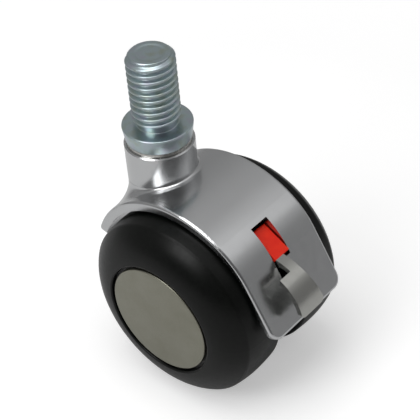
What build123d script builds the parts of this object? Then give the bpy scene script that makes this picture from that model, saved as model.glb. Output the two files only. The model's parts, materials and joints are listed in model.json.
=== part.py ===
from build123d import *

# Swivel castor: a threaded stem, a die-cast hood that swivels on it, two wheels on one axle and a
# rocking brake lever with a coloured indicator in the hood's window.
# Millimetres. Origin: centre of the stem collar's top face, +Z up the stem. The axle lies along Y,
# at +X of the stem; the brake is on the +X side. The right wheel is the one on -Y.

import math
import os

# ---------------------------------------------------------------- driving dimensions
# Overall
TRAIL = 14.75               # stem axis to axle axis, along X
AXLE_DROP = 40.5            # collar's top face to axle axis, along Z
RUN_CLEAR = 0.04            # radial clearance of a running fit
FACE_CLEAR = 0.05           # clearance between faces that slide on each other

# Threaded stem, its collar and its pivot
THREAD_R = 6.0              # M12 major radius
THREAD_LENGTH = 19.5
THREAD_CHAMFER = 1.1
COLLAR_R = 8.76
COLLAR_HEIGHT = 4.1
COLLAR_TAPER = 0.6          # how much smaller the collar is at its foot, in radius
COLLAR_EDGE = 0.45
PIVOT_R = 5.0
PIVOT_LENGTH = 10.0
PIVOT_GROOVE_DEPTH = 0.8
PIVOT_GROOVE_UP = 1.5       # groove's lower face, above the pivot's end
PIVOT_END_CLEAR = 0.4       # pivot's end to the floor of the neck's bore
SNAP_RING_T = 0.9
SNAP_RING_GRIP = 0.26       # how far the ring reaches into the neck past the bore
SNAP_RING_GAP = 50.0        # degrees left open

# Thrust washer and swivel bush
THRUST_T = 0.85
THRUST_INSET = 0.68         # how much smaller the washer is than the neck, in radius
BUSH_WALL = 1.2
BUSH_LENGTH = 5.6

# Hood
HOOD_GAP = 0.84             # tread to the hood's inner face
HOOD_WALL = 2.11            # wall, taken from the outer circle's own centre
HOOD_BACK = 0.5             # how far behind the axle that centre lies, so the wall thickens rearwards
HOOD_HALF = 13.3            # half of the hood's width
HOOD_REAR = 162.0           # degrees from +X, where the hood ends at the back
KICK_FROM = 17.0            # degrees from +X, where the front edge starts to kick outwards
KICK_LENGTH = 7.15
KICK_ANGLE = 30.0           # degrees from vertical
KICK_WALL = 1.6
KICK_BEND = 4.0             # radius of the inner bend into the kick
KICK_BLEND = 22.0           # radius of the outer one, where the hood turns flat well above it
HOOD_CORNER = 3.0           # corner radius, seen square on
LIP_ROUND = 0.7

# Neck and the flare at its foot. Flare angles are measured round the stem axis, from the rear
NECK_INSET = 0.03           # how much smaller the neck is than the collar, in radius
NECK_EDGE = 0.3
NECK_ROOT = 1.2             # height and reach of the flare at the front, where it is a plain fillet
FLARE_RISE = 4.6            # height of the flare up the neck at the rear
FLARE_BACK = 2.4            # reach of the flare straight back
FLARE_SIDE = 4.7            # reach of the flare towards the hood's rear corners
FLARE_CORNER = 60.0         # degrees, direction of those corners
FLARE_RISE_FROM = 43.0      # degrees, where its height starts to fade
FLARE_REACH_FROM = 58.0     # degrees, where its reach starts to fade
FLARE_TO = 111.0            # degrees, where it has become the plain fillet
FLARE_LIFT = 0.03           # step of its thin edges above the neck and the hood
FLARE_ROOT = 0.8            # how deep it is rooted in them
FLARE_PULL = 0.55           # length of the curve's end handles, against rise and reach
FLARE_SECTIONS = (0, 20, 40, 55, 70, 85, 100, 115, 140, 165)    # degrees, on either side

# Web between the wheels
WEB_HALF = 4.0
BOSS_R = 6.3
WEB_REAR = 152.0            # degrees, where the web's rear edge meets the hood
WEB_FRONT = 17.0            # degrees, where its front edge meets the hood
WEB_ROOT = 0.8              # how deep the web is rooted in the hood's wall

# Window and brake pocket
WINDOW_HALF = 2.85
WINDOW_TOP = 57.0           # degrees
WINDOW_FOOT = 35.0          # degrees, foot of the full-width window
SLOT_FOOT = 24.0            # degrees, foot of the slot that the lever's strap leaves by
SLOT_SIDE = 0.4             # clearance beside the strap in that slot
SLOT_LAP = 1.0              # degrees that the slot runs up into the window
POCKET_DEPTH = 12.44        # from the hood's inner face towards the axle
POCKET_TOP = 67.0           # degrees
POCKET_FOOT = 20.0          # degrees

# Axle and its fittings
AXLE_R = 3.0
AXLE_EDGE = 0.4
AXLE_OVERHANG = 0.6         # axle's end beyond the clip
AXLE_GROOVE_DEPTH = 0.45
CLIP_T = 0.8
CLIP_WIDTH = 2.85           # from the bottom of the axle's groove out
CLIP_GAP = 60.0             # degrees left open
WASHER_T = 0.8
WASHER_R = 6.2

# Wheels
WHEEL_R = 25.0
WHEEL_BUSH_WALL = 1.4
WHEEL_BUSH_LENGTH = 12.15
CORE_WIDTH = 15.65          # inner face to the outer face, which the disc sits on
CORE_DRAW = 5.2             # width over which the core draws in to that face
CORE_BOSS_R = 7.6
CORE_RELIEF = 0.5           # how far the face beside the boss stands back
CORE_RIM_RELIEF = 0.2       # how far the tyre's inner face stands back
CORE_WELL_R = 8.2           # well for the axle's clip
CORE_WELL_UNDER = 0.2       # bush's end above the well's floor
TREAD_T = 3.4               # tyre under the tread
TYRE_CROWN_AT = 6.05        # where the tread is largest, from the inner face
TYRE_EDGE_DROP = 0.35       # how much smaller the tread is at its inner edge
TYRE_EDGE_ROUND = 0.8
TYRE_SHOULDER_DROP = 0.65   # how much smaller the tread is where it turns into the side
TYRE_SHOULDER_UNDER = 3.5   # that place, back from the core's outer face
TYRE_SHOULDER_ROUND = 1.6
TYRE_BULGE = 1.15           # how far the side bows out of a straight line
TYRE_LIP = 1.5              # highest part of the side beside the disc, above the core's outer face
TYRE_LIP_ROUND = 0.45
DISC_R = 14.58
DISC_GAP = 0.77             # disc's rim to the tyre
DISC_T = 1.6
DISC_SHEET = 1.1            # thickness at the middle
DISC_DOME = 0.25
DISC_EDGE = 0.4
DISC_RIM = 1.38             # rim beyond the skirt
DISC_SKIRT_T = 1.0
DISC_SKIRT_DEPTH = 2.4
SKIRT_CLEAR = 0.2           # skirt to its groove's inner wall
SKIRT_END_CLEAR = 0.3       # skirt's end to its groove's floor

# Brake. Places on the lever are a height above the hood's outer circle and an angle from +X
PIVOT_DEPTH = 1.84          # lever's pivot, in from the hood's inner face
PIVOT_AT = 40.0             # degrees
PIN_R = 1.0
HUB_R = 2.2
LEVER_HALF = 2.45
LEVER_TRAVEL = 10.0         # degrees
LEVER_OVERRUN = 2.0         # degrees that the bar's slots allow past either end
STRAP_T = 1.3
STRAP_LEFT = 2.5            # strap's edge towards the right wheel
STRAP_RIGHT = 0.35          # strap's other edge
STRAP_ROOT_DEPTH = 0.8      # how deep the hub's web runs into the strap, as a share of its thickness
STRAP_ROOT_FROM = 0.06      # where along the strap it does, as shares of its length
STRAP_ROOT_TO = 0.14
STRAP_START_UP, STRAP_START_AT = -0.35, 37.5
STRAP_BEND_UP, STRAP_BEND_AT = 2.96, 29.15
STRAP_END_UP, STRAP_END_AT = 5.21, 11.5
PEDAL_LEFT = 6.45
PEDAL_RIGHT = 2.1           # at the pedal's end
PEDAL_TOE = 1.2             # corner radius at the pedal's end
PEDAL_FROM = 0.28           # share of the strap's length where it widens into the pedal
INDICATOR_NOSE_UP, INDICATOR_NOSE_AT = -2.32, 54.45
INDICATOR_T = 1.1
INDICATOR_HALF = 2.55
INDICATOR_SEAT = 6.5        # length of the lever's arm under the indicator
BAR_R = 1.2
BAR_HALF = 8.2
BAR_EDGE = 0.3
BAR_BACK = 8.0              # bar from the lever's pivot, towards the stem
BAR_DOWN = 1.0
BAR_BOSS = 0.8              # wall round the bar
BAR_PLAY = 0.3              # bar to the sides of its slots
BRAKE_CLEAR = 0.1           # bar to brake drum at the end of its travel
DRUM_LEDGE = 5.0            # width of the drum groove
GROOVE_DEPTH = 3.75
SPRING_T = 0.4
SPRING_HALF = 2.0
SPRING_CLEAR = 0.15         # blade to the bar's boss where they come closest
SPRING_OFF = 0.3            # blade's foot and tip to the pocket's wall
SPRING_SEAT = 1.6           # how deep the blade's foot sits in its slit
SPRING_TIP = 3.0            # blade's tip beyond the boss's centre

# ---------------------------------------------------------------- derived sizes
hood_in_r = WHEEL_R + HOOD_GAP
hood_out_r = hood_in_r + HOOD_WALL
hood_reach = 2 * hood_out_r                 # more than any cut needs
neck_r = COLLAR_R - NECK_INSET
neck_seat = COLLAR_HEIGHT + THRUST_T + 2 * FACE_CLEAR
neck_top = AXLE_DROP - neck_seat            # above the axle
bush_bore_r = PIVOT_R + RUN_CLEAR
neck_bore_r = bush_bore_r + BUSH_WALL
snap_ring_r = neck_bore_r + SNAP_RING_GRIP
pivot_groove_r = PIVOT_R - PIVOT_GROOVE_DEPTH
pivot_end = COLLAR_HEIGHT + PIVOT_LENGTH
ring_at = pivot_end - PIVOT_GROOVE_UP
pocket_in_r = hood_in_r - POCKET_DEPTH
axle_bore_r = AXLE_R + RUN_CLEAR
axle_groove_r = AXLE_R - AXLE_GROOVE_DEPTH
wheel_bush_r = axle_bore_r + WHEEL_BUSH_WALL
wheel_in = WEB_HALF + WASHER_T + 3 * FACE_CLEAR
bush_end = wheel_in + WHEEL_BUSH_LENGTH
clip_at = bush_end + 3 * FACE_CLEAR
axle_half = clip_at + CLIP_T + AXLE_OVERHANG
core_face = wheel_in + CORE_WIDTH
core_face_r = DISC_R + DISC_GAP
core_r = WHEEL_R - TREAD_T
skirt_r = DISC_R - DISC_RIM
bar_boss_r = BAR_R + BAR_BOSS
to_mount = Pos(TRAIL, 0, -AXLE_DROP)        # from the axle's frame to the part's frame


def polar(r, degrees):
    """The (x, z) place at radius r and an angle from +X, about the axle."""
    a = math.radians(degrees)
    return (r * math.cos(a), r * math.sin(a))


pivot = polar(hood_in_r - PIVOT_DEPTH, PIVOT_AT)
bar_at = (pivot[0] - BAR_BACK, pivot[1] - BAR_DOWN)
strap_start = polar(hood_out_r + STRAP_START_UP, STRAP_START_AT)
strap_bend = polar(hood_out_r + STRAP_BEND_UP, STRAP_BEND_AT)
strap_end = polar(hood_out_r + STRAP_END_UP, STRAP_END_AT)
indicator_nose = polar(hood_out_r + INDICATOR_NOSE_UP, INDICATOR_NOSE_AT)


def turned(place, degrees):
    """A place on the brake lever after the lever has turned by an angle about its pivot."""
    a = math.radians(degrees)
    x, z = place[0] - pivot[0], place[1] - pivot[1]
    return (pivot[0] + x * math.cos(a) + z * math.sin(a), pivot[1] - x * math.sin(a) + z * math.cos(a))


bar_braked = turned(bar_at, LEVER_TRAVEL)
drum_r = math.hypot(*bar_braked) + BAR_R + BRAKE_CLEAR


def slab(face, y_low, y_high):
    """Extrudes a face drawn in (x, z) between two places along Y."""
    return Pos(0, y_high, 0) * extrude(Plane.XZ * face, y_high - y_low)


def disc(r, place, y_low, y_high):
    """A cylinder along Y, centred on an (x, z) place."""
    return slab(Pos(*place) * Circle(r), y_low, y_high)


def turned_on_z(points):
    """A solid turned about Z from (radius, z) points."""
    return revolve(Plane.XZ * make_face(Polyline(*points, close=True)), Axis.Z)


def ring(r_in, r_out, thickness, gap):
    """A flat ring on Z = 0 with an open gap, in degrees, centred on +X."""
    whole = Circle(r_out) - Circle(r_in)
    reach = 2 * r_out
    half = math.radians(gap / 2)
    wedge = Polygon((0, 0), (reach, -reach * math.tan(half)), (reach, reach * math.tan(half)), align=None)
    return extrude(whole - wedge, thickness)


def sector(r_in, r_out, low, high):
    """A face between two radii and two angles about the axle, in (x, z)."""
    mid = (low + high) / 2
    return make_face([
        ThreePointArc(polar(r_out, low), polar(r_out, mid), polar(r_out, high)),
        Line(polar(r_out, high), polar(r_in, high)),
        ThreePointArc(polar(r_in, high), polar(r_in, mid), polar(r_in, low)),
        Line(polar(r_in, low), polar(r_out, low)),
    ])


# ---------------------------------------------------------------- stem
def threaded_stem():
    """The stem, turned in one piece: plain at the thread's major size, collar and grooved pivot."""
    foot_r = COLLAR_R - COLLAR_TAPER
    return turned_on_z([
        (0, THREAD_LENGTH), (THREAD_R - THREAD_CHAMFER, THREAD_LENGTH),
        (THREAD_R, THREAD_LENGTH - THREAD_CHAMFER), (THREAD_R, 0),
        (COLLAR_R - COLLAR_EDGE, 0), (COLLAR_R, -COLLAR_EDGE),
        (foot_r, -COLLAR_HEIGHT), (PIVOT_R, -COLLAR_HEIGHT),
        (PIVOT_R, -(ring_at - SNAP_RING_T)), (pivot_groove_r, -(ring_at - SNAP_RING_T)),
        (pivot_groove_r, -ring_at), (PIVOT_R, -ring_at),
        (PIVOT_R, -pivot_end + COLLAR_EDGE), (PIVOT_R - COLLAR_EDGE, -pivot_end), (0, -pivot_end),
    ])


def snap_ring():
    """Split ring that sits in the pivot's groove and in a groove of the neck's bore."""
    return Pos(0, 0, -ring_at) * ring(pivot_groove_r, snap_ring_r, SNAP_RING_T, SNAP_RING_GAP)


def thrust_washer():
    """Hardened washer between the collar and the neck."""
    face = Circle(neck_r - THRUST_INSET) - Circle(bush_bore_r)
    return Pos(0, 0, FACE_CLEAR - neck_seat) * extrude(face, THRUST_T)


def swivel_bush():
    """Plain sleeve pressed into the neck."""
    return Pos(0, 0, -neck_seat - BUSH_LENGTH) * extrude(Circle(neck_bore_r) - Circle(bush_bore_r), BUSH_LENGTH)


# ---------------------------------------------------------------- housing
def hood_profile():
    """The hood's section in (x, z) about the axle: an arched wall whose front edge kicks outwards."""
    kick = math.radians(KICK_ANGLE)
    along = (math.sin(kick), -math.cos(kick))
    across = (math.cos(kick), math.sin(kick))
    in_start = polar(hood_in_r, KICK_FROM)
    in_end = (in_start[0] + KICK_LENGTH * along[0], in_start[1] + KICK_LENGTH * along[1])
    out_end = (in_end[0] + KICK_WALL * across[0], in_end[1] + KICK_WALL * across[1])
    # the kick's outer line runs back until it meets the outer circle
    cx = out_end[0] + HOOD_BACK
    b = cx * along[0] + out_end[1] * along[1]
    c = cx * cx + out_end[1] * out_end[1] - hood_out_r * hood_out_r
    back = b + math.sqrt(b * b - c) if b * b > c else b
    out_start = (out_end[0] - back * along[0], out_end[1] - back * along[1])
    start_angle = math.degrees(math.atan2(out_start[1], out_start[0] + HOOD_BACK))

    def outer(degrees):
        x, z = polar(hood_out_r, degrees)
        return (x - HOOD_BACK, z)

    face = make_face([
        Line(in_end, out_end),
        Line(out_end, outer(start_angle)),
        ThreePointArc(outer(start_angle), outer((start_angle + HOOD_REAR) / 2), outer(HOOD_REAR)),
        Line(outer(HOOD_REAR), polar(hood_in_r, HOOD_REAR)),
        ThreePointArc(polar(hood_in_r, HOOD_REAR), polar(hood_in_r, (HOOD_REAR + KICK_FROM) / 2), in_start),
        Line(in_start, in_end),
    ])
    for place, radius in ((outer(start_angle), KICK_BLEND), (in_start, KICK_BEND)):
        bend = [v for v in face.vertices() if math.dist((v.X, v.Y), place) < 1e-4]
        face = fillet(bend, radius)
    return face


def hood_shell():
    """The arched hood, with its four corners rounded and its outer rim softened."""
    shell = slab(hood_profile(), -HOOD_HALF, HOOD_HALF)
    corners = [e for e in shell.edges()
               if e.geom_type == GeomType.LINE and abs(e.tangent_at(0.5).Y) < 0.01
               and abs(abs(e.center().Y) - HOOD_HALF) < 1e-3 and e.length < 2 * KICK_WALL]
    shell = fillet(corners, HOOD_CORNER)
    rim = [e for e in shell.edges().filter_by(GeomType.CIRCLE)
           if abs(abs(e.center().Y) - HOOD_HALF) < 1e-3 and abs(e.radius - hood_out_r) < 1e-3]
    return fillet(rim, LIP_ROUND)


def web():
    """The wall between the wheels, which carries the axle and the brake."""
    reach = hood_in_r + WEB_ROOT
    rear, front = polar(reach, WEB_REAR), polar(reach, WEB_FRONT)
    wedge = make_hull([*(Circle(BOSS_R).edges()), Line(rear, front)])
    arch = sector(BOSS_R - WEB_ROOT, reach, WEB_FRONT, WEB_REAR)
    return slab((wedge + arch) & Circle(reach), -WEB_HALF, WEB_HALF)


def neck():
    """The vertical barrel over the stem's pivot."""
    barrel = Pos(-TRAIL, 0, 0) * extrude(Circle(neck_r), neck_top)
    barrel = chamfer(barrel.edges().group_by(Axis.Z)[-1], NECK_EDGE)
    return barrel - slab(Circle(hood_in_r), -HOOD_HALF, HOOD_HALF)


def fade(angle, start, end):
    """One up to the first angle, nothing past the second, and a smooth fall between them."""
    share = min(max((angle - start) / (end - start), 0), 1)
    return (1 + math.cos(math.pi * share)) / 2


def flare_section(angle):
    """The flare's section in the plane through the stem axis at an angle from the rear: a curve that leaves
    the neck's wall downwards and lands along the hood, closed inside the metal."""
    off_rear = min(angle, 360 - angle)
    back, side = -math.cos(math.radians(angle)), -math.sin(math.radians(angle))
    rise = NECK_ROOT + (FLARE_RISE - NECK_ROOT) * fade(off_rear, FLARE_RISE_FROM, FLARE_TO)
    to_corner = math.sin(math.radians(90 * min(off_rear / FLARE_CORNER, 1))) ** 2
    full_reach = FLARE_BACK + (FLARE_SIDE - FLARE_BACK) * to_corner
    reach = NECK_ROOT + (full_reach - NECK_ROOT) * fade(off_rear, FLARE_REACH_FROM, FLARE_TO)

    def hood_height(out):
        return math.sqrt(hood_out_r ** 2 - (HOOD_BACK - TRAIL + out * back) ** 2)

    def place(out, height):
        return Vector(-TRAIL + out * back, out * side, height)

    foot = neck_r + reach
    foot_height = hood_height(foot) + FLARE_LIFT
    slope = -(HOOD_BACK - TRAIL + foot * back) * back / hood_height(foot)
    steep = math.hypot(1, slope)
    head, head_height = neck_r + FLARE_LIFT, hood_height(neck_r) + rise
    curve = Bezier(place(head, head_height), place(head, head_height - FLARE_PULL * rise),
                   place(foot - FLARE_PULL * reach, foot_height - FLARE_PULL * reach * slope),
                   place(foot, foot_height))
    inner = Polyline(place(foot, foot_height),
                     place(foot + FLARE_ROOT * slope / steep, foot_height - FLARE_ROOT / steep),
                     place(neck_r - FLARE_ROOT, hood_height(neck_r) - FLARE_ROOT),
                     place(neck_r - FLARE_ROOT, head_height), place(head, head_height))
    return Face(Wire([curve, *inner.edges()]))


def flare():
    """The flare all round the neck's foot: tall and wide at the rear, a plain fillet at the front."""
    angles = [*FLARE_SECTIONS, *(360 - a for a in reversed(FLARE_SECTIONS) if a > 0)]
    sections = [flare_section(a) for a in angles]
    return loft(sections + sections[:1])


def brake_pocket():
    """Everything cut away for the brake: the window, the strap's slot, the pocket and the bar's slots."""
    wall_out = hood_out_r + KICK_LENGTH
    wall_in = hood_in_r - FACE_CLEAR
    window = slab(sector(wall_in, wall_out, WINDOW_FOOT, WINDOW_TOP), -WINDOW_HALF, WINDOW_HALF)
    slot = slab(sector(wall_in, wall_out, SLOT_FOOT, WINDOW_FOOT + SLOT_LAP), -WINDOW_HALF, STRAP_RIGHT + SLOT_SIDE)
    pocket = slab(sector(pocket_in_r, hood_in_r, POCKET_FOOT, POCKET_TOP), -WINDOW_HALF, WINDOW_HALF)
    bar_end = turned(bar_at, LEVER_TRAVEL + LEVER_OVERRUN)
    bar_low = turned(bar_at, -LEVER_OVERRUN)
    play = BAR_R + BAR_PLAY
    bar_slot = slab(make_hull([*(Pos(*bar_low) * Circle(play)).edges(), *(Pos(*bar_end) * Circle(play)).edges()]),
                    -HOOD_HALF, HOOD_HALF)
    foot = slab(spring_face(SPRING_T + 2 * FACE_CLEAR), -SPRING_HALF - FACE_CLEAR, SPRING_HALF + FACE_CLEAR)
    return window + slot + pocket + bar_slot + foot


def housing():
    """Hood, neck and web: one die casting, bored for the swivel bush, the axle and the brake's pin."""
    body = hood_shell() + neck() + flare() + web() - brake_pocket()
    body -= disc(AXLE_R, (0, 0), -hood_reach, hood_reach)
    body -= disc(PIN_R, pivot, -hood_reach, hood_reach)
    bore_floor = AXLE_DROP - pivot_end - PIVOT_END_CLEAR
    bore = Pos(-TRAIL, 0, bore_floor) * extrude(Circle(neck_bore_r), hood_reach)
    groove = Pos(-TRAIL, 0, AXLE_DROP - ring_at - FACE_CLEAR) * extrude(
        Circle(snap_ring_r + 2 * RUN_CLEAR), SNAP_RING_T + 2 * FACE_CLEAR)
    return to_mount * (body - bore - groove)


# ---------------------------------------------------------------- axle and wheels
def axle():
    """Steel rod pressed through the web, grooved for a clip at each end."""
    rod = disc(AXLE_R, (0, 0), -axle_half, axle_half)
    rod = chamfer(rod.edges().filter_by(GeomType.CIRCLE), AXLE_EDGE)
    for side in (-1, 1):
        low, high = sorted((side * clip_at, side * (clip_at + CLIP_T)))
        rod -= disc(BOSS_R, (0, 0), low, high) - disc(axle_groove_r, (0, 0), low, high)
    return to_mount * rod


def axle_clip(side):
    """Split ring in the axle's groove that keeps the wheel on."""
    flat = ring(axle_groove_r, axle_groove_r + CLIP_WIDTH, CLIP_T, CLIP_GAP)
    low = clip_at if side > 0 else -clip_at - CLIP_T
    return to_mount * Pos(0, low + CLIP_T, 0) * Rot(90, 0, 0) * flat


def axle_washer(side):
    """Washer between the web and the wheel's bush."""
    low = WEB_HALF + FACE_CLEAR
    places = sorted((side * low, side * (low + WASHER_T)))
    return to_mount * (disc(WASHER_R, (0, 0), *places) - disc(axle_bore_r, (0, 0), *places))


def on_side(profile, side):
    """A solid turned about Y from a face drawn as (radius, distance from the middle plane)."""
    solid = revolve(Plane.XY * profile, Axis.Y)
    if side < 0:
        solid = mirror(solid, Plane.XZ)
    return to_mount * solid


def wheel_bush(side):
    """Plain sleeve that the wheel turns on."""
    middle = ((axle_bore_r + wheel_bush_r) / 2, (wheel_in + bush_end) / 2)
    wall = Pos(*middle) * Rectangle(WHEEL_BUSH_WALL, WHEEL_BUSH_LENGTH)
    return on_side(wall, side)


def wheel_core(side):
    """The wheel's moulded core: bush bore, drum groove for the brake, seat for the disc."""
    inner = wheel_in + CORE_RELIEF
    rim_in = wheel_in + CORE_RIM_RELIEF
    groove_floor = wheel_in + GROOVE_DEPTH
    skirt_in = skirt_r - DISC_SKIRT_T - SKIRT_CLEAR
    skirt_floor = core_face - DISC_SKIRT_DEPTH - SKIRT_END_CLEAR
    well = bush_end - CORE_WELL_UNDER
    profile = make_face(Polyline(
        (wheel_bush_r, wheel_in), (CORE_BOSS_R, wheel_in), (CORE_BOSS_R, inner), (drum_r - DRUM_LEDGE, inner),
        (drum_r - DRUM_LEDGE, groove_floor), (drum_r, groove_floor), (drum_r, rim_in),
        (core_r, rim_in), (core_r, core_face - CORE_DRAW), (core_face_r, core_face),
        (skirt_r, core_face), (skirt_r, skirt_floor), (skirt_in, skirt_floor), (skirt_in, core_face),
        (CORE_WELL_R, core_face), (CORE_WELL_R, well), (wheel_bush_r, well), close=True))
    return on_side(profile, side)


def tyre(side):
    """Cast tyre: crowned tread, rounded shoulder and a bowed side that reaches in to the disc."""
    inner = (WHEEL_R - TYRE_EDGE_DROP, wheel_in + CORE_RIM_RELIEF)
    crown = (WHEEL_R, wheel_in + TYRE_CROWN_AT)
    shoulder = (WHEEL_R - TYRE_SHOULDER_DROP, core_face - TYRE_SHOULDER_UNDER)
    lip = (core_face_r, core_face + TYRE_LIP)
    root, draw, face = (core_r, inner[1]), (core_r, core_face - CORE_DRAW), (core_face_r, core_face)
    chord = math.dist(shoulder, lip)
    out = ((lip[1] - shoulder[1]) / chord, -(lip[0] - shoulder[0]) / chord)
    bow = tuple((a + b) / 2 + TYRE_BULGE * o for a, b, o in zip(shoulder, lip, out))
    profile = make_face([
        Line(root, inner), TangentArc(crown, inner, tangent=(0, -1)), TangentArc(crown, shoulder, tangent=(0, 1)),
        ThreePointArc(shoulder, bow, lip), Line(lip, face), Line(face, draw), Line(draw, root)])
    rounds = {inner: TYRE_EDGE_ROUND, shoulder: TYRE_SHOULDER_ROUND, lip: TYRE_LIP_ROUND}
    for place, radius in rounds.items():
        corner = [v for v in profile.vertices() if math.dist((v.X, v.Y), place) < 1e-4]
        profile = fillet(corner, radius)
    return on_side(profile, side)


def hub_disc(side):
    """Pressed cover disc: a faintly domed face and a skirt that snaps into the core."""
    skirt_low = core_face - DISC_SKIRT_DEPTH
    skirt_in = skirt_r - DISC_SKIRT_T
    top = core_face + DISC_T
    under = top - DISC_SHEET
    rim = (DISC_R, top - DISC_DOME)
    dome_r = (DISC_R ** 2 + DISC_DOME ** 2) / (2 * DISC_DOME)
    half_way = (DISC_R / 2, top - dome_r + math.sqrt(dome_r ** 2 - DISC_R ** 2 / 4))
    profile = make_face([
        Polyline((0, under), (skirt_in, under), (skirt_in, skirt_low), (skirt_r, skirt_low),
                 (skirt_r, core_face), (DISC_R, core_face), rim),
        ThreePointArc(rim, half_way, (0, top)), Line((0, top), (0, under))])
    corner = [v for v in profile.vertices() if math.dist((v.X, v.Y), rim) < 1e-4]
    return on_side(fillet(corner, DISC_EDGE), side)


# ---------------------------------------------------------------- brake
def strap_line():
    """The outer face of the strap and pedal in (x, z): leaves the window level and bends down."""
    return ThreePointArc(strap_start, strap_bend, strap_end)


def inside_strap(place, depth):
    """A place on the strap's outer line, moved inwards by a depth."""
    line = strap_line()
    middle = (line.arc_center.X, line.arc_center.Y)
    share = (line.radius - depth) / line.radius
    return tuple(m + (p - m) * share for p, m in zip(place, middle))


def strap_face():
    """The strap's section: the outer line and the same line one thickness further in."""
    start, bend, end = (inside_strap(p, STRAP_T) for p in (strap_start, strap_bend, strap_end))
    return make_face([
        strap_line(), Line(strap_end, end), ThreePointArc(end, bend, start), Line(start, strap_start)])


def indicator_line():
    """Unit vectors along and across the indicator's top face, from the strap to the nose."""
    length = math.dist(strap_start, indicator_nose)
    along = tuple((n - s) / length for n, s in zip(indicator_nose, strap_start))
    return along, (along[1], -along[0])


def indicator_face():
    """The indicator's side view: a flat cap with a rounded nose."""
    along, across = indicator_line()
    under = tuple(s - INDICATOR_T * a for s, a in zip(strap_start, across))
    nose_under = tuple(n - INDICATOR_T * a for n, a in zip(indicator_nose, across))
    nose_mid = tuple((n + u) / 2 + INDICATOR_T / 2 * a for n, u, a in zip(indicator_nose, nose_under, along))
    return make_face([
        Line(strap_start, indicator_nose), ThreePointArc(indicator_nose, nose_mid, nose_under),
        Line(nose_under, under), Line(under, strap_start)])


def brake_lever():
    """Lever: hub on the pivot pin, arm to the brake bar, strap out of the slot and the wide pedal."""
    along, across = indicator_line()
    hub = Pos(*pivot) * Circle(HUB_R)
    boss = Pos(*bar_at) * Circle(bar_boss_r)
    under = tuple(s - INDICATOR_T * a for s, a in zip(strap_start, across))
    seat = tuple(u + INDICATOR_SEAT * a for u, a in zip(under, along))
    above = Polygon(*(tuple(u + hood_out_r * (i * a + j * c) for u, a, c in zip(under, along, across))
                      for i, j in ((0, 0), (1, 0), (1, 1), (0, 1))), align=None)
    arm = make_hull([*hub.edges(), *boss.edges(), Line(under, seat)])
    arm = slab(arm - above, -LEVER_HALF, LEVER_HALF)
    root = make_hull([*hub.edges(), Line(strap_start, under), Line(*strap_root())])
    strap = slab(root - above, -STRAP_LEFT, STRAP_RIGHT) + slab(strap_face(), -STRAP_LEFT, STRAP_RIGHT)
    pedal = slab(strap_face(), -PEDAL_LEFT, PEDAL_LEFT) & pedal_plan()
    toe = [e for e in pedal.edges().filter_by(GeomType.LINE)
           if abs(e.length - STRAP_T) < 1e-3 and math.dist((e.center().X, e.center().Z), strap_end) < STRAP_T]
    lever = arm + strap + fillet(toe, PEDAL_TOE)
    lever -= disc(PIN_R + RUN_CLEAR, pivot, -PEDAL_LEFT, PEDAL_LEFT)
    lever -= disc(BAR_R, bar_at, -PEDAL_LEFT, PEDAL_LEFT)
    return to_mount * lever


def strap_root():
    """Two places inside the strap, just past its start, that the hub's web runs to."""
    line = strap_line()
    depth = STRAP_T * STRAP_ROOT_DEPTH
    return [inside_strap((p.X, p.Y), depth) for p in (line @ STRAP_ROOT_FROM, line @ STRAP_ROOT_TO)]


def pedal_plan():
    """What the pedal keeps: all past its shoulder, between a straight and a slanting edge."""
    shoulder = strap_line() @ PEDAL_FROM
    low = -hood_out_r
    spread = (PEDAL_RIGHT - STRAP_RIGHT) / (shoulder.Y - strap_end[1]) * (strap_end[1] - low)
    outline = Polygon((-PEDAL_LEFT, low), (PEDAL_RIGHT + spread, low), (STRAP_RIGHT, shoulder.Y),
                      (STRAP_RIGHT, hood_out_r), (-PEDAL_LEFT, hood_out_r), align=None)
    return Pos(shoulder.X, 0, 0) * extrude(Plane.YZ * outline, hood_out_r)


def brake_indicator():
    """Coloured cap that sits on the lever behind the window."""
    return to_mount * slab(indicator_face(), -INDICATOR_HALF, INDICATOR_HALF)


def brake_bar():
    """Cross bar whose two ends press on the drums inside the wheels."""
    bar = disc(BAR_R, bar_at, -BAR_HALF, BAR_HALF)
    return to_mount * chamfer(bar.edges().filter_by(GeomType.CIRCLE), BAR_EDGE)


def brake_pin():
    """Pin across the web that the lever rocks on."""
    return to_mount * disc(PIN_R, pivot, -WEB_HALF, WEB_HALF)


def spring_face(thickness):
    """The detent spring's side view: a thin blade from a slit in the web up beside the bar's boss."""
    wall = polar(1, POCKET_TOP)
    normal = (wall[1], -wall[0])                   # from the pocket's wall towards the boss
    up = bar_braked[0] * wall[0] + bar_braked[1] * wall[1]
    out = bar_braked[0] * normal[0] + bar_braked[1] * normal[1] - bar_boss_r - SPRING_CLEAR - SPRING_T / 2
    off = SPRING_T / 2 + SPRING_OFF

    def place(along, across):
        return (wall[0] * along + normal[0] * across, wall[1] * along + normal[1] * across)

    line = Polyline(place(pocket_in_r - SPRING_SEAT, off), place(pocket_in_r + off, off),
                    place(up, out), place(up + SPRING_TIP, off))
    return trace(line, thickness)


def detent_spring():
    """Spring blade that holds the lever at either end of its travel."""
    return to_mount * slab(spring_face(SPRING_T), -SPRING_HALF, SPRING_HALF)


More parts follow.
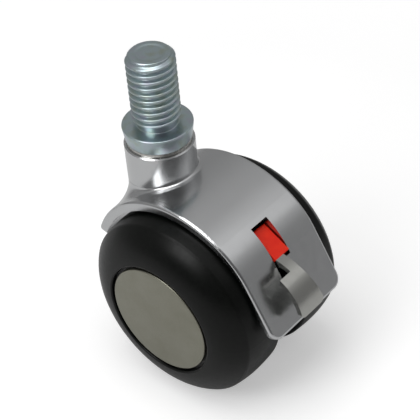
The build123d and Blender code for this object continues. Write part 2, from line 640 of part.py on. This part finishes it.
# ---------------------------------------------------------------- export
def build():
    parts = {
        "threaded_stem": threaded_stem(),
        "snap_ring": snap_ring(),
        "thrust_washer": thrust_washer(),
        "swivel_bush": swivel_bush(),
        "housing": housing(),
        "axle": axle(),
        "brake_lever": brake_lever(),
        "brake_indicator": brake_indicator(),
        "brake_bar": brake_bar(),
        "brake_pin": brake_pin(),
        "detent_spring": detent_spring(),
    }
    for name, side in (("right", -1), ("left", 1)):
        parts[f"{name}_wheel_core"] = wheel_core(side)
        parts[f"{name}_tyre"] = tyre(side)
        parts[f"{name}_hub_disc"] = hub_disc(side)
        parts[f"{name}_wheel_bush"] = wheel_bush(side)
        parts[f"{name}_axle_washer"] = axle_washer(side)
        parts[f"{name}_axle_clip"] = axle_clip(side)
    return parts


os.makedirs("parts", exist_ok=True)
for node, shape in build().items():
    export_step(shape, f"parts/{node}.step")
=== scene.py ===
import json
import math
from collections import namedtuple

import bpy
import numpy as np
from mathutils import Matrix, Vector


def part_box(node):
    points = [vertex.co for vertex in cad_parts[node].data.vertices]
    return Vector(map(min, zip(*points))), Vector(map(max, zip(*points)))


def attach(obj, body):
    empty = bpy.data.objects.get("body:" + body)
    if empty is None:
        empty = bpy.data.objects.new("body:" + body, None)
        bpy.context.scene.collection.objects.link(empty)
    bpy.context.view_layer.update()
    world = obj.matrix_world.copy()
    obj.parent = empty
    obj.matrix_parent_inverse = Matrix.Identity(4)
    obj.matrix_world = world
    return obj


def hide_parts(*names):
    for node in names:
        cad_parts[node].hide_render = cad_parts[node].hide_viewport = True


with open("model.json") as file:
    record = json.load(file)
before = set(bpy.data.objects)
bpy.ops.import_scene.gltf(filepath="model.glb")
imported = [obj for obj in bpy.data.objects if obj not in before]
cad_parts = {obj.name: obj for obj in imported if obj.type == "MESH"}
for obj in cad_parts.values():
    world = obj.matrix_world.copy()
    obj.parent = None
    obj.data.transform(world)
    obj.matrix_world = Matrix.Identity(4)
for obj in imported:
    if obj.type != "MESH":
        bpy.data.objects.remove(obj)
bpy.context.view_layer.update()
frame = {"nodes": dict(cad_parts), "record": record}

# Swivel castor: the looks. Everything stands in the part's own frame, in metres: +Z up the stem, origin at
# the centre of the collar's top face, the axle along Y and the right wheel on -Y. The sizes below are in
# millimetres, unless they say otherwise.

MM = 0.001

# ---------------------------------------------------------------- camera
RENDER_SIDE = 420               # pixels
FOCAL_PX = 1349.8               # focal length in those pixels
SENSOR = 36.0                   # width of the camera's back
CLIP_START = 0.01               # metres
VIEW_AZIMUTH = 43.44            # degrees round from -Y towards +X
VIEW_ELEVATION = 39.70
VIEW_ROLL = -5.23
AIM = Vector((32.02, -18.43, 0.39)) * MM
DISTANCE = 294.88 * MM

# ---------------------------------------------------------------- floor, room and lamps
FLOOR_SIDE = 8.0                # metres
FLOOR_COLOUR = "#E0E0E0"
FLOOR_LIFT = 0.40               # what the camera sees added to the lit floor, so that it reads as white
FLOOR_LIFT_FAR = 0.80           # the same, far from the lamps
FLOOR_NEAR, FLOOR_FAR = 0.15, 0.60      # metres from the castor between which it changes
FRONT = (0.69, -0.73, 0.0)      # level, towards the viewer
GLOW = (0.42, 0.56, 0.71)       # up and away to the right, where the ceiling is lightest
# How bright the room is in a direction, as (place, level) stops. A place is about the cosine between that
# direction and straight up, FRONT or GLOW.
WALL_LEVELS = ((0.0, 0.32), (0.41, 0.33), (0.64, 0.38), (0.78, 0.46), (1.0, 0.60))
FRONT_SHARES = ((0.0, 1.0), (0.75, 0.35))               # what stays of the walls' level
GLOW_LEVELS = ((0.89, 0.0), (0.95, 0.11), (1.0, 0.22))  # what is added to it
LAMP_AIM = (15, 0, -30)         # the castor's middle
LAMPS = (                       # name, place, side in metres, power in watts
    ("front_left", (-30, -450, 400), 0.28, 1.2),
    ("overhead", (0, -110, 520), 0.40, 1.3),
    ("back_right", (290, 170, 400), 0.33, 0.09),
)

# ---------------------------------------------------------------- threaded stem
THREAD_R = 6.0                  # M12 major radius
THREAD_PITCH = 1.75
THREAD_DEPTH = 0.95
THREAD_CREST = 1 / 16           # half the crest's flat, in pitches
THREAD_ROOT = 3 / 8             # from the crest's middle to the root's flat, in pitches
THREAD_TOP = 19.5
THREAD_CHAMFER = 1.1
THREAD_FOOT = 0.25              # lowest turned row, over the collar's face
RELIEF_R = 5.05                 # plain groove between the thread and the collar
RELIEF_TOP = 1.35
RELIEF_RUN = 0.7                # height over which the thread runs out into the groove
COLLAR_R = 8.76
COLLAR_FOOT_R = 8.16
COLLAR_HEIGHT = 4.1
COLLAR_EDGE = 0.45
COLLAR_FOOT_EDGE = 0.3
COLLAR_LEAN = (-0.13, -0.99)    # the way down the collar's side, as (out, up)
PIVOT_R = 5.0
PIVOT_END = 14.1
PIVOT_NOSE = 0.5                # length of the chamfer on its end
PIVOT_NOSE_IN = 0.45            # and its depth
DISH_R = 3.5                    # shallow dish that thread rolling leaves in the stem's end
DISH_DEPTH = 0.14
DISH_EDGE = 0.8                 # width of its sloping rim
END_SPAN = (0.1, 0.99)          # the rows across the stem's end, as shares of its radius
END_ROWS = 24
STEM_TURNS = 192                # points round the stem
THREAD_ROWS = 270               # points up the thread

# ---------------------------------------------------------------- cover discs
TRAIL = 14.75                   # stem axis to axle axis
AXLE_DROP = 40.5
DISC_R = 14.58
DISC_FACE = 22.2                # middle of its face, from the middle plane
DISC_DOME = 0.25
DISC_EDGE = 0.4
DISC_BREAK = 0.1                # chamfer on its other edges
DISC_UNDER = 21.1
DISC_SEAT = 20.6
DISC_POLE_R = 0.6               # innermost ring, round the middle
SKIRT_R = 13.2
SKIRT_IN_R = 12.2
SKIRT_END = 18.2
DISC_TURNS = 160                # points round the disc
DISC_ROWS = 16                  # rows over the dome

# ---------------------------------------------------------------- rows that keep smooth shading crisp
ROUND_ROWS = 6                  # points over a rounded edge
ROUND_LEAD = 1.5                # the face ends this many radii before a rounded edge
CORNER_LEAD = 0.3               # an extra row this far from an inner corner


# ---------------------------------------------------------------- small helpers
def linear(hex_colour):
    """An sRGB hex colour as linear RGBA, by the standard's own formula."""
    values = [int(hex_colour[i:i + 2], 16) / 255 for i in (1, 3, 5)]
    return [v / 12.92 if v <= 0.04045 else ((v + 0.055) / 1.055) ** 2.4 for v in values] + [1.0]


def hues(*stops):
    """Colour ramp stops from (place, sRGB hex) pairs."""
    return [(place, linear(colour)) for place, colour in stops]


def greys(*stops):
    """Colour ramp stops from (place, level) pairs."""
    return [(place, (level, level, level, 1.0)) for place, level in stops]


def node(tree, kind, settings=None, stops=(), **inputs):
    """Adds a node. settings are its own properties and stops are a colour ramp's, in rising order. inputs are
    values or links for its sockets, by name or, as in _0, by number."""
    made = tree.nodes.new(kind)
    for name, value in (settings or {}).items():
        setattr(made, name, value)
    for index, (place, colour) in enumerate(stops):
        elements = made.color_ramp.elements             # a new ramp has two already
        element = elements[index] if index < 2 else elements.new(place)
        element.position, element.color = place, colour
    for name, value in inputs.items():
        socket = made.inputs[int(name[1:])] if name[1:].isdigit() else made.inputs[name.replace("_", " ")]
        if isinstance(value, bpy.types.NodeSocket):
            tree.links.new(value, socket)
        else:
            socket.default_value = value
    return made


def new_material(name):
    """An empty node material and its tree."""
    material = bpy.data.materials.new(name)
    material.use_nodes = True
    material.node_tree.nodes.clear()
    return material, material.node_tree


def link_object(name, data):
    """A new object in the scene, at the origin and unturned."""
    made = bpy.data.objects.new(name, data)
    bpy.context.scene.collection.objects.link(made)
    return made


# ---------------------------------------------------------------- materials
Mottle = namedtuple("Mottle", "grain detail stops")     # a ramp over noise with features grain mm across
Relief = namedtuple("Relief", "grain detail strength height")   # the same noise as bumps, height in mm


def pattern(tree, place, look):
    """The socket that gives a Mottle or a Relief at a place, or a plain value as it is."""
    if not isinstance(look, (Mottle, Relief)):
        return look
    noise = node(tree, "ShaderNodeTexNoise", Vector=place, Scale=1 / (look.grain * MM), Detail=look.detail)
    if isinstance(look, Mottle):
        return node(tree, "ShaderNodeValToRGB", stops=look.stops, Fac=noise.outputs["Fac"]).outputs[0]
    return node(tree, "ShaderNodeBump", Height=noise.outputs["Fac"], Strength=look.strength,
                Distance=look.height * MM).outputs[0]


def finish(name, **looks):
    """A finish on Object coordinates: each socket of its shader takes a value, a Mottle or a Relief."""
    material, tree = new_material(name)
    place = node(tree, "ShaderNodeTexCoord").outputs["Object"]
    shader = node(tree, "ShaderNodeBsdfPrincipled",
                  **{socket: pattern(tree, place, look) for socket, look in looks.items()})
    node(tree, "ShaderNodeOutputMaterial", Surface=shader.outputs[0])
    return material


def zinc_plated_steel():
    """Turned steel with a thin blue-passivated zinc plating: a little blue, satin, with faint tints that
    drift over 3 mm. The plating's grain is far finer, and is drawn 0.8 mm across so that it shows."""
    return finish(
        "zinc_plated_steel", Metallic=1.0,
        Base_Color=Mottle(3.0, 2.0, hues((0.30, "#A8B2AA"), (0.50, "#AEBDC0"), (0.68, "#B0B5BF"))),
        Roughness=Mottle(0.8, 2.0, greys((0.30, 0.28), (0.75, 0.32))))


def chromed_die_cast():
    """Chrome over die-cast zinc: bright, but softened by the casting's faint waves, about 5 mm long."""
    return finish(
        "chromed_die_cast", Metallic=1.0, Base_Color=linear("#C3C4C5"),
        Roughness=Mottle(4.0, 3.0, greys((0.30, 0.19), (0.75, 0.25))),
        Normal=Relief(5.0, 1.0, strength=0.25, height=0.05))


def chromed_pressing():
    """Chrome over a pressed steel lever: as smooth as the hood but a little darker, with faint waves of the
    pressing, about 2 mm long."""
    return finish(
        "chromed_pressing", Metallic=1.0, Base_Color=linear("#ABABA7"),
        Roughness=Mottle(1.5, 3.0, greys((0.30, 0.16), (0.75, 0.26))),
        Normal=Relief(2.0, 2.0, strength=0.2, height=0.04))


def bright_steel():
    """Bare drawn steel of the axle, pin, bar and washers: bright, uneven over about 1 mm."""
    return finish(
        "bright_steel", Metallic=1.0, Base_Color=linear("#B9B8B4"),
        Roughness=Mottle(1.0, 3.0, greys((0.30, 0.18), (0.75, 0.32))))


def spring_steel():
    """Hardened steel of the clips, snap ring and detent spring: dark and dull, uneven over about 1 mm."""
    return finish(
        "spring_steel", Metallic=1.0, Base_Color=linear("#7E7E80"),
        Roughness=Mottle(1.0, 3.0, greys((0.30, 0.30), (0.75, 0.45))))


def satin_disc():
    """Pressed cover disc with a satin nickel plating: soft grey, a little warm, clouded over 6 mm. Its satin
    grain is finer than the 0.4 mm at which it is drawn so that it shows."""
    return finish(
        "satin_disc", Metallic=1.0,
        Base_Color=Mottle(6.0, 2.0, hues((0.30, "#868578"), (0.70, "#8E8D81"))),
        Roughness=Mottle(0.4, 3.0, greys((0.30, 0.36), (0.75, 0.46))))


def cast_polyurethane():
    """Black cast polyurethane tyre: soft satin sheen over a 0.3 mm mould texture, with a trace of dust."""
    return finish(
        "cast_polyurethane", Specular_IOR_Level=0.17,
        Base_Color=Mottle(1.2, 4.0, hues((0.35, "#060706"), (0.75, "#0A0C0A"))),
        Roughness=Mottle(0.8, 4.0, greys((0.30, 0.30), (0.75, 0.38))),
        Normal=Relief(0.3, 2.0, strength=0.1, height=0.03))


def black_nylon():
    """Moulded black nylon of the wheel cores: matt, uneven over about 1 mm."""
    return finish(
        "black_nylon", Base_Color=linear("#161616"),
        Roughness=Mottle(1.0, 3.0, greys((0.30, 0.45), (0.75, 0.60))))


def natural_acetal():
    """Natural white acetal of the bushes: waxy, uneven over about 1 mm."""
    return finish(
        "natural_acetal", Base_Color=linear("#E6E5DE"),
        Roughness=Mottle(1.0, 3.0, greys((0.30, 0.35), (0.75, 0.50))))


def red_plastic():
    """Moulded red plastic of the brake's indicator: semi-gloss, its colour a little uneven over 1.5 mm."""
    return finish(
        "red_plastic", Specular_IOR_Level=0.3,
        Base_Color=Mottle(1.5, 3.0, hues((0.30, "#DA1E02"), (0.70, "#E22804"))),
        Roughness=Mottle(0.6, 3.0, greys((0.30, 0.40), (0.75, 0.52))))


MAKERS = {
    "zinc_plated_steel": zinc_plated_steel, "spring_steel": spring_steel, "bright_steel": bright_steel,
    "acetal": natural_acetal, "chromed_die_cast": chromed_die_cast, "chromed_pressing": chromed_pressing,
    "red_plastic": red_plastic, "black_nylon": black_nylon, "polyurethane_tyre": cast_polyurethane,
    "satin_disc": satin_disc,
}


def dress_nodes(finishes):
    """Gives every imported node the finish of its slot."""
    for part in frame["record"]["subparts"]:
        piece = frame["nodes"][part["node"]]
        piece.data.materials.clear()
        piece.data.materials.append(finishes[part["material_slot"]])


# ---------------------------------------------------------------- meshes
def lathe(name, radius, along, stand):
    """A closed turned surface. Formula: row k lies along[k] up the axis, with radius[k, i] at the i-th angle,
    so a point is (radius cos(angle), radius sin(angle), along), which stand puts in the part's frame. A pole
    closes each end."""
    rows, turns = radius.shape
    angle = np.linspace(0, 2 * np.pi, turns, endpoint=False)
    rings = np.stack([radius * np.cos(angle), radius * np.sin(angle),
                      np.broadcast_to(along[:, None], radius.shape)], axis=-1).reshape(-1, 3)
    points = stand(np.vstack([rings, [[0, 0, along[0]], [0, 0, along[-1]]]])) * MM
    row, column = np.meshgrid(np.arange(rows - 1), np.arange(turns), indexing="ij")
    across = (column + 1) % turns
    quads = np.stack([row * turns + column, (row + 1) * turns + column,
                      (row + 1) * turns + across, row * turns + across], axis=-1).reshape(-1, 4)
    start = np.arange(turns)
    after = (start + 1) % turns
    last = (rows - 1) * turns
    top = np.stack([np.full(turns, rows * turns), start, after], axis=-1)
    foot = np.stack([np.full(turns, rows * turns + 1), last + after, last + start], axis=-1)
    mesh = bpy.data.meshes.new(name)
    mesh.from_pydata(points.tolist(), [], quads.tolist() + top.tolist() + foot.tolist())
    mesh.polygons.foreach_set("use_smooth", np.ones(len(mesh.polygons), bool))
    return link_object(name, mesh)


def upright(points):
    """Stands a turned surface up the stem, as it is."""
    return points


def on_axle(side):
    """Stands a turned surface out along the axle, to -Y for side -1 and +Y for side 1. Formula: a quarter
    turn about X, then the way from the origin to the axle."""
    def stand(points):
        across, over, along = points.T
        return np.stack([TRAIL + across, side * along, -AXLE_DROP - side * over], axis=-1)
    return stand


def smooth_step(share):
    """Rises smoothly from 0 to 1 as the share does. Formula: 3 share^2 - 2 share^3, level past both ends."""
    share = np.clip(share, 0, 1)
    return share * share * (3 - 2 * share)


def rounded(corner, radius, way_in, way_out):
    """Points over a rounded corner of a profile. Formula: a parabola that starts a radius before the corner
    along the way in, ends a radius after it along the way out, and is tangent to both."""
    corner = np.array(corner, float)
    share = np.linspace(0, 1, ROUND_ROWS)[:, None]
    first, last = corner - radius * np.array(way_in, float), corner + radius * np.array(way_out, float)
    return (1 - share) ** 2 * first + 2 * share * (1 - share) * corner + share ** 2 * last


def chamfered(outline, size):
    """The corners of an outline between its ends, each as two points. Formula: the corner less the size along
    the unit way in, and the corner plus the size along the unit way out."""
    way = np.diff(outline, axis=0)
    way = way / np.linalg.norm(way, axis=1, keepdims=True)
    corners = outline[1:-1]
    return np.stack([corners - size * way[:-1], corners + size * way[1:]], axis=1).reshape(-1, 2)


def thread_radius(angle, height):
    """Radius of the threaded stretch. Formula: the major radius less a smoothed V groove that climbs one
    pitch a turn, run out into the relief groove at the foot and cut by the chamfer at the top."""
    phase = (height / THREAD_PITCH - angle / (2 * np.pi)) % 1.0
    away = np.abs(phase - 0.5)                                  # from the crest's middle, in pitches
    groove = THREAD_DEPTH * smooth_step((away - THREAD_CREST) / (THREAD_ROOT - THREAD_CREST))
    run = np.clip((height - RELIEF_TOP) / RELIEF_RUN, 0, 1)
    foot = RELIEF_R + (THREAD_R - RELIEF_R) * run
    top = THREAD_R - np.clip(height - (THREAD_TOP - THREAD_CHAMFER), 0, None)
    return np.minimum(np.minimum(THREAD_R - groove, foot), top)


def stem_end(edge_r):
    """Radii and heights of the rows across the stem's end, out to an edge. Formula: shares of the edge's
    radius, at the thread's top outside the dish and at its floor inside, with a smooth step between."""
    share = np.linspace(*END_SPAN, END_ROWS)
    out = share * (THREAD_R - THREAD_CHAMFER)
    rim = smooth_step((out - DISH_R) / DISH_EDGE + 0.5)
    return share[:, None] * edge_r, THREAD_TOP - DISH_DEPTH * (1 - rim)


def collar_and_pivot():
    """Profile from the relief groove out over the collar, down its leaning side and in to the pivot's end, as
    (radius, height). Formula: straight stretches between two rounded edges, with a chamfer at the end."""
    return np.vstack([
        [[RELIEF_R, 0.0], [RELIEF_R + CORNER_LEAD, 0.0], [COLLAR_R - ROUND_LEAD * COLLAR_EDGE, 0.0]],
        rounded((COLLAR_R, 0), COLLAR_EDGE, (1, 0), COLLAR_LEAN),
        rounded((COLLAR_FOOT_R, -COLLAR_HEIGHT), COLLAR_FOOT_EDGE, COLLAR_LEAN, (-1, 0)),
        [[PIVOT_R, -COLLAR_HEIGHT], [PIVOT_R, -COLLAR_HEIGHT - CORNER_LEAD],
         [PIVOT_R, -PIVOT_END + PIVOT_NOSE], [PIVOT_R - PIVOT_NOSE_IN, -PIVOT_END]]])


def threaded_stem():
    """The stem with its cut thread: end, thread, relief groove, collar and pivot in one turned piece.
    Formula: the rows of stem_end, thread_radius and collar_and_pivot, one after the other down the axis."""
    angle = np.linspace(0, 2 * np.pi, STEM_TURNS, endpoint=False)
    height = np.linspace(THREAD_TOP, THREAD_FOOT, THREAD_ROWS)
    thread = thread_radius(angle, height[:, None])
    end, end_height = stem_end(thread[0])
    below = collar_and_pivot()
    radius = np.vstack([end, thread, np.repeat(below[:, :1], STEM_TURNS, axis=1)])
    return lathe("stem_with_thread", radius, np.concatenate([end_height, height, below[:, 1]]), upright)


def hub_disc(name, side):
    """A pressed cover disc. Formula: a dome that is part of a large sphere, a rounded rim, a step back to the
    seat, and the skirt with the hollow inside it, as one profile turned about the axle."""
    dome_r = (DISC_R ** 2 + DISC_DOME ** 2) / (2 * DISC_DOME)
    out = np.linspace(DISC_POLE_R, DISC_R - ROUND_LEAD * DISC_EDGE, DISC_ROWS)
    dome = np.stack([out, DISC_FACE - dome_r + np.sqrt(dome_r ** 2 - out ** 2)], axis=-1)
    rim = rounded((DISC_R, DISC_FACE - DISC_DOME), DISC_EDGE, (1, 0), (0, -1))
    walls = np.array([
        (DISC_R, DISC_FACE), (DISC_R, DISC_SEAT), (SKIRT_R, DISC_SEAT), (SKIRT_R, SKIRT_END),
        (SKIRT_IN_R, SKIRT_END), (SKIRT_IN_R, DISC_UNDER), (DISC_POLE_R, DISC_UNDER)])
    profile = np.vstack([dome, rim, chamfered(walls, DISC_BREAK), walls[-1:]])
    return lathe(name, np.repeat(profile[:, :1], DISC_TURNS, axis=1), profile[:, 1], on_axle(side))


# ---------------------------------------------------------------- stage
def floor(level):
    """Plain pale floor, which the camera sees as white where no shadow falls. What is added for the camera
    grows with the distance, as the lamps' light falls off."""
    half = FLOOR_SIDE / 2
    mesh = bpy.data.meshes.new("floor")
    mesh.from_pydata([(-half, -half, level), (half, -half, level), (half, half, level), (-half, half, level)],
                     [], [(0, 1, 2, 3)])
    material, tree = new_material("white_paper")
    seen = node(tree, "ShaderNodeLightPath").outputs["Is Camera Ray"]
    place = node(tree, "ShaderNodeTexCoord").outputs["Object"]
    away = node(tree, "ShaderNodeVectorMath", {"operation": "LENGTH"}, _0=place)
    share = node(tree, "ShaderNodeMapRange", Value=away.outputs["Value"], From_Min=FLOOR_NEAR,
                 From_Max=FLOOR_FAR, To_Min=FLOOR_LIFT, To_Max=FLOOR_LIFT_FAR)
    lift = node(tree, "ShaderNodeMath", {"operation": "MULTIPLY"}, _0=seen, _1=share.outputs[0])
    paper = node(tree, "ShaderNodeBsdfDiffuse", Color=linear(FLOOR_COLOUR))
    glow = node(tree, "ShaderNodeEmission", Color=linear("#FFFFFF"), Strength=lift.outputs[0])
    both = node(tree, "ShaderNodeAddShader", _0=paper.outputs[0], _1=glow.outputs[0])
    node(tree, "ShaderNodeOutputMaterial", Surface=both.outputs[0])
    mesh.materials.append(material)
    plane = link_object("floor", mesh)


def studio():
    """The room round the castor: grey walls, lighter overhead and darker on the viewer's side, so that the
    chrome has tones to show. Where the camera looks past the floor it is white. A Mix node's sockets 6 and 7
    are its two colours, and its output 2 is their mixture."""
    world = bpy.data.worlds.new("studio")
    bpy.context.scene.world = world
    world.use_nodes = True
    tree = world.node_tree
    tree.nodes.clear()
    direction = node(tree, "ShaderNodeTexCoord").outputs["Generated"]
    up = node(tree, "ShaderNodeSeparateXYZ", Vector=direction).outputs["Z"]
    walls = node(tree, "ShaderNodeValToRGB", stops=greys(*WALL_LEVELS), Fac=up)
    front = node(tree, "ShaderNodeVectorMath", {"operation": "DOT_PRODUCT"}, _0=direction, _1=FRONT)
    dimmed = node(tree, "ShaderNodeValToRGB", stops=greys(*FRONT_SHARES), Fac=front.outputs["Value"])
    room = node(tree, "ShaderNodeMix", {"data_type": "RGBA", "blend_type": "MULTIPLY"}, _0=1.0,
                _6=walls.outputs[0], _7=dimmed.outputs[0])
    towards = node(tree, "ShaderNodeVectorMath", {"operation": "DOT_PRODUCT"}, _0=direction, _1=GLOW)
    glow = node(tree, "ShaderNodeValToRGB", stops=greys(*GLOW_LEVELS), Fac=towards.outputs["Value"])
    lit = node(tree, "ShaderNodeMix", {"data_type": "RGBA", "blend_type": "ADD"}, _0=1.0,
               _6=room.outputs[2], _7=glow.outputs[0])
    seen = node(tree, "ShaderNodeLightPath").outputs["Is Camera Ray"]
    colour = node(tree, "ShaderNodeMix", {"data_type": "RGBA"}, _0=seen, _6=lit.outputs[2],
                  _7=linear("#FFFFFF"))
    background = node(tree, "ShaderNodeBackground", Color=colour.outputs[2], Strength=1.0)
    node(tree, "ShaderNodeOutputWorld", Surface=background.outputs[0])


def softbox(name, place, side, power):
    """A square area lamp that faces the castor."""
    data = bpy.data.lights.new(name, "AREA")
    data.shape = "SQUARE"
    data.size = side
    data.energy = power
    place, aim = Vector(place) * MM, Vector(LAMP_AIM) * MM
    turn = (aim - place).to_track_quat("-Z", "Y").to_matrix().to_4x4()
    link_object(name, data).matrix_world = Matrix.Translation(place) @ turn


def camera():
    """A long lens above the right front, with a little roll."""
    azimuth, elevation, roll = (math.radians(v) for v in (VIEW_AZIMUTH, VIEW_ELEVATION, VIEW_ROLL))
    back = Vector((math.sin(azimuth) * math.cos(elevation), -math.cos(azimuth) * math.cos(elevation),
                   math.sin(elevation)))
    level = Vector((math.cos(azimuth), math.sin(azimuth), 0))
    upward = back.cross(level)
    right = math.cos(roll) * level + math.sin(roll) * upward
    up = math.cos(roll) * upward - math.sin(roll) * level
    place = AIM + DISTANCE * back
    data = bpy.data.cameras.new("camera")
    data.sensor_width = SENSOR
    data.lens = FOCAL_PX / RENDER_SIDE * SENSOR
    data.clip_start = CLIP_START
    made = link_object("camera", data)
    made.matrix_world = Matrix((
        (right.x, up.x, back.x, place.x), (right.y, up.y, back.y, place.y),
        (right.z, up.z, back.z, place.z), (0, 0, 0, 1)))
    bpy.context.scene.camera = made


# ---------------------------------------------------------------- the scene
bpy.context.scene.view_settings.view_transform = "Standard"
finishes = {slot: make() for slot, make in MAKERS.items()}
dress_nodes(finishes)

stem = threaded_stem()
stem.data.materials.append(finishes["zinc_plated_steel"])
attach(stem, "stem")
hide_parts("threaded_stem")

for side_name, side in (("right", -1), ("left", 1)):
    cover = hub_disc(f"{side_name}_cover_disc", side)
    cover.data.materials.append(finishes["satin_disc"])
    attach(cover, f"{side_name}_wheel")
    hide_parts(f"{side_name}_hub_disc")

wheel_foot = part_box("right_tyre")[0].z
floor(wheel_foot)
studio()
for name, place, side, power in LAMPS:
    softbox(name, place, side, power)
camera()
